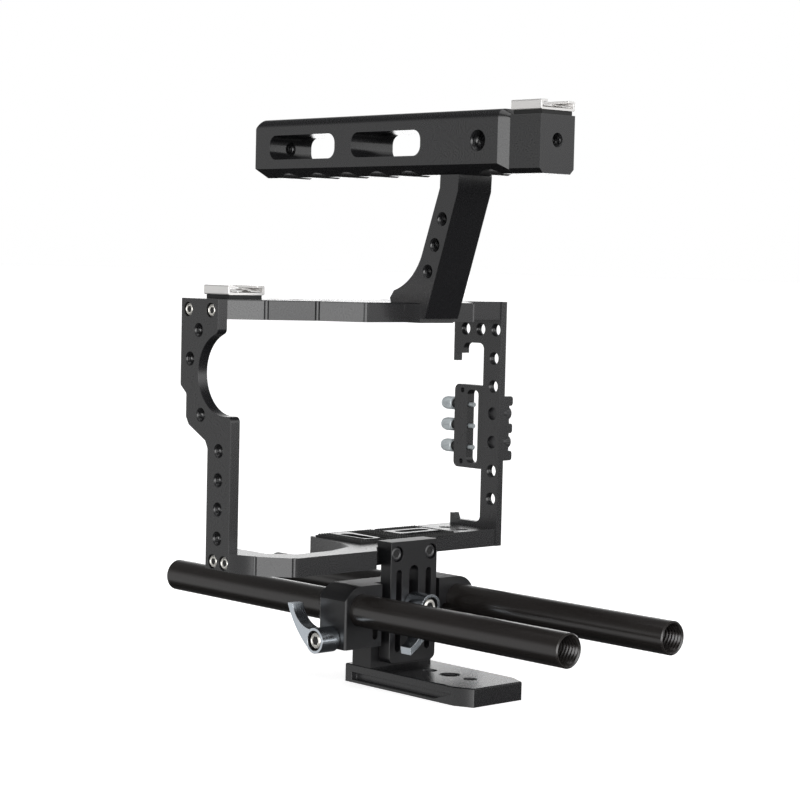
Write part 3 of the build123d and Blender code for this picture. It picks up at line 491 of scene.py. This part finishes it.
# ---- ribbed pads -----------------------------------------------------------------------------
RIB_STEP, RIB_FOOT, RIB_TIP, RIB_HEIGHT = 1.6, 0.62, 0.26, 0.75     # half widths at foot and tip
RIB_CLEAR = 0.8            # no rib's centre is closer than this to a window
THINNEST_BAR = 0.3         # where a window reaches past the pad's edge there is no bar beside it
SLOT_LENGTH, SLOT_R, FIELD_GAP = 20.0, 3.3, 0.25
CORNERS = ((-1, -1), (1, -1), (1, 1), (-1, 1))
for name, window, middle, turned in (("pad_left", (-7.7, 50.8, 9.5, 77.0), (-3.2, 62.0), False),
                                     ("pad_right", (20.6, 53.5, 46.6, 76.0), (34.0, 64.0), True)):
    lo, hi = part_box(name)
    x0, y0, z0 = lo / MM
    x1, y1, z1 = hi / MM
    wx0, wy0, wx1, wy1 = window
    flat = Matrix.Scale(MM, 4)
    skin = z1 - RIB_HEIGHT
    bars = ((x0, y0, x1, wy0), (x0, wy1, x1, y1), (x0, wy0, wx0, wy1), (wx1, wy0, x1, wy1))
    shells = []
    for a0, b0, a1, b1 in bars:
        if a1 - a0 > THINNEST_BAR and b1 - b0 > THINNEST_BAR:
            shells.append(prism(flat, [(a0, b0), (a1, b0), (a1, b1), (a0, b1)], z0, skin))
    nx, ny = int((x1 - x0 - 0.6) / RIB_STEP), int((y1 - y0 - 0.6) / RIB_STEP)
    for i in range(nx):
        for j in range(ny):
            cx = x0 + 0.5 + (i + 0.5) * (x1 - x0 - 1.0) / nx
            cy = y0 + 0.5 + (j + 0.5) * (y1 - y0 - 1.0) / ny
            if wx0 - RIB_CLEAR < cx < wx1 + RIB_CLEAR and wy0 - RIB_CLEAR < cy < wy1 + RIB_CLEAR:
                continue
            v = [flat @ Vector((cx + s * dx, cy + s * dy, z))
                 for s, z in ((RIB_FOOT, skin - 0.05), (RIB_TIP, z1)) for dx, dy in CORNERS]
            f = [(3, 2, 1, 0), (4, 5, 6, 7)] + [(q, (q + 1) % 4, 4 + (q + 1) % 4, 4 + q) for q in range(4)]
            shells.append((v, f))
    make(f"{name}_ribbed", "cage", "black_rubber", shells, [name], smooth=20)
    field = (wx0 + FIELD_GAP, wy0 + FIELD_GAP, wx1 - FIELD_GAP, wy1 - FIELD_GAP)
    raised = slotted_field(flat, field, middle, SLOT_LENGTH, SLOT_R, turned, z0 + 0.02, z1 - 0.04)
    make(f"{name}_field", "cage", "cage_black", [raised], smooth=20)

# ---- cable clamp thumbscrews -----------------------------------------------------------------
THUMB_SEAT_Y, SHANK_R, SHANK_END = 92.3, 1.15, -1.9        # the shank ends inside the collar
for which in ("bottom", "middle", "top"):
    name = f"cable_thumbscrew_{which}"
    lo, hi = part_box(name)
    mid = (lo + hi) / 2 / MM
    place = frame_of((mid.x, THUMB_SEAT_Y, mid.z), (0, 1, 0))
    tip, top = lo.y / MM - THUMB_SEAT_Y, hi.y / MM - THUMB_SEAT_Y
    knurl = fluted(3.28, 28, 0.28)
    head = tube(place, [(0, 2.7), (0.35, 3.0), (0.5, knurl), (top - 3.2, knurl), (top - 2.9, 3.1),
                        (top - 1.9, 2.95), (top - 1.0, 2.5), (top - 0.35, 1.7), (top, 0.5)], 112)
    make(f"{name}_head", BODY_OF[name], "silver_screw", [head, shank(place, SHANK_R, tip, SHANK_END)],
         [name], THUMB)
    collar = tube(place, [(-2.0, 2.1), (-1.75, 2.45), (-0.3, 2.45), (0.02, 2.2)], 48)
    make(f"{name}_collar", BODY_OF[name], "cage_black", [collar], material=DARK_AND_SHADE)

# ---- cold shoe springs -----------------------------------------------------------------------
SHOE_WALL, LEAF_X, LEAF_HALF, LEAF_T, LEAF_STEPS = 1.1, 5.6, 2.6, 0.3, 24
for shoe in ("handle_shoe", "cage_shoe"):
    lo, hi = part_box(f"{shoe}_channel")
    lo, hi = lo / MM, hi / MM
    floor, roof = lo.z + SHOE_WALL, hi.z - SHOE_WALL
    side = frame_of(((lo.x + hi.x) / 2, lo.y + 0.6, floor), (1, 0, 0), (0, 1, 0))
    length = hi.y - lo.y - 1.2
    arch = []
    for i in range(LEAF_STEPS + 1):
        s = i / LEAF_STEPS
        lift = (roof - floor - 0.45) * 0.95 * math.sin(math.pi * s) ** 0.8 + (0.5 if s < 0.06 else 0)
        arch.append((s * length, lift))
    strip = [(u, v + 0.02 + LEAF_T) for u, v in arch] + [(u, v + 0.02) for u, v in reversed(arch)]
    leaves = [prism(side, strip, cx - LEAF_HALF, cx + LEAF_HALF) for cx in (-LEAF_X, LEAF_X)]
    make(f"{shoe}_spring", "cage", "bright_shoe", leaves, smooth=60)

# ---- studio ----------------------------------------------------------------------------------
DOME_BELOW, DOME_ABOVE, DOME_TILT = 0.04, 0.15, 0.2        # levels off the band, and its lean
DOME_REST, DOME_FRONT, DOME_PATCH, DOME_BEHIND = 0.6, 2.7, 2.6, 2.2
FRONT_LEFT, BEHIND, LEFT = (-0.84, -0.54, 0.0), (0.68, 0.73, 0.0), (-0.68, 0.73)
FLOOR_GLOW = 0.75

bpy.ops.mesh.primitive_plane_add(size=60, location=(0, 0, 0))
floor_plane = bpy.context.object
floor_plane.name = "floor"
pale = bpy.data.materials.new("floor pale")
pale.use_nodes = True
paint = pale.node_tree.nodes["Principled BSDF"]
paint.inputs["Base Color"].default_value = (0.9, 0.9, 0.9, 1)
paint.inputs["Roughness"].default_value = 0.9
paint.inputs["Emission Color"].default_value = (1, 1, 1, 1)
paint.inputs["Emission Strength"].default_value = FLOOR_GLOW
floor_plane.data.materials.append(pale)
floor_plane.visible_glossy = False
floor_plane.visible_diffuse = False

# Soft surround of light: a bright band at eye level, strongest in front of the rig and, low down,
# behind it. It is dim above and below. The view itself sees plain white.
world = bpy.data.worlds.new("studio")
bpy.context.scene.world = world
world.use_nodes = True
sky = world.node_tree
dome = sky.nodes["Background"]
dome.inputs["Color"].default_value = (1, 1, 1, 1)
towards = node(sky, "ShaderNodeTexCoord").outputs["Generated"]
parts = node(sky, "ShaderNodeSeparateXYZ")
sky.links.new(towards, parts.inputs["Vector"])
lean = (LEFT[0] * DOME_TILT, LEFT[1] * DOME_TILT, 1.0)
tilted = along(sky, towards, lean)
band = multiply(sky, ramp(sky, tilted, -0.36, -0.15, DOME_BELOW, 1.0),
                ramp(sky, tilted, 0.30, 0.62, 1.0, DOME_ABOVE))
front = ramp(sky, parts.outputs["Y"], -0.60, -1.0, DOME_REST, DOME_FRONT)
front_left = ramp(sky, along(sky, towards, FRONT_LEFT), 0.72, 0.97, 0.0, DOME_PATCH)
behind = ramp(sky, along(sky, towards, BEHIND), 0.55, 0.95, 0.0, DOME_BEHIND)
low = ramp(sky, parts.outputs["Z"], 0.13, 0.19, 1.0, 0.1)
around = add(sky, add(sky, front, front_left), multiply(sky, behind, low))
sky.links.new(multiply(sky, band, around), dome.inputs["Strength"])
surround = node(sky, "ShaderNodeBackground", Color=(1, 1, 1, 1), Strength=1.0)
seen = node(sky, "ShaderNodeLightPath")
pick = node(sky, "ShaderNodeMixShader")
sky.links.new(seen.outputs["Is Camera Ray"], pick.inputs["Fac"])
sky.links.new(dome.outputs["Background"], pick.inputs[1])
sky.links.new(surround.outputs["Background"], pick.inputs[2])
sky.links.new(pick.outputs["Shader"], sky.nodes["World Output"].inputs["Surface"])


def lamp(name, at, towards, size, power):
    data = bpy.data.lights.new(name, "AREA")
    data.shape = "RECTANGLE"
    data.size, data.size_y = size
    data.energy = power
    obj = bpy.data.objects.new(name, data)
    bpy.context.scene.collection.objects.link(obj)
    obj.location = at
    obj.rotation_euler = (Vector(towards) - Vector(at)).to_track_quat("-Z", "Y").to_euler()


lamp("above", (-0.2, 0.1, 1.8), (0, 0, 0.13), (1.6, 1.6), 10)

# ---- camera ----------------------------------------------------------------------------------
AZIMUTH, DROP, ROLL = math.radians(42.674), math.radians(3.526), math.radians(1.314)
STANDPOINT, FOCAL, SENSOR = (-0.69612, -0.71743, 0.19443), 99.99, 36.0
forward = Vector((math.sin(AZIMUTH) * math.cos(DROP), math.cos(AZIMUTH) * math.cos(DROP),
                  -math.sin(DROP)))
level = Vector((math.cos(AZIMUTH), -math.sin(AZIMUTH), 0))
rise = level.cross(forward)
right = level * math.cos(ROLL) + rise * math.sin(ROLL)
up = right.cross(forward)
camera_data = bpy.data.cameras.new("camera")
camera_data.lens = FOCAL
camera_data.sensor_width = SENSOR
camera_data.clip_start = 0.01
camera_data.clip_end = 50
camera = bpy.data.objects.new("camera", camera_data)
bpy.context.scene.collection.objects.link(camera)
place = Matrix((right, up, -forward)).transposed().to_4x4()
place.translation = Vector(STANDPOINT)
camera.matrix_world = place
bpy.context.scene.camera = camera
bpy.context.scene.view_settings.view_transform = "Standard"
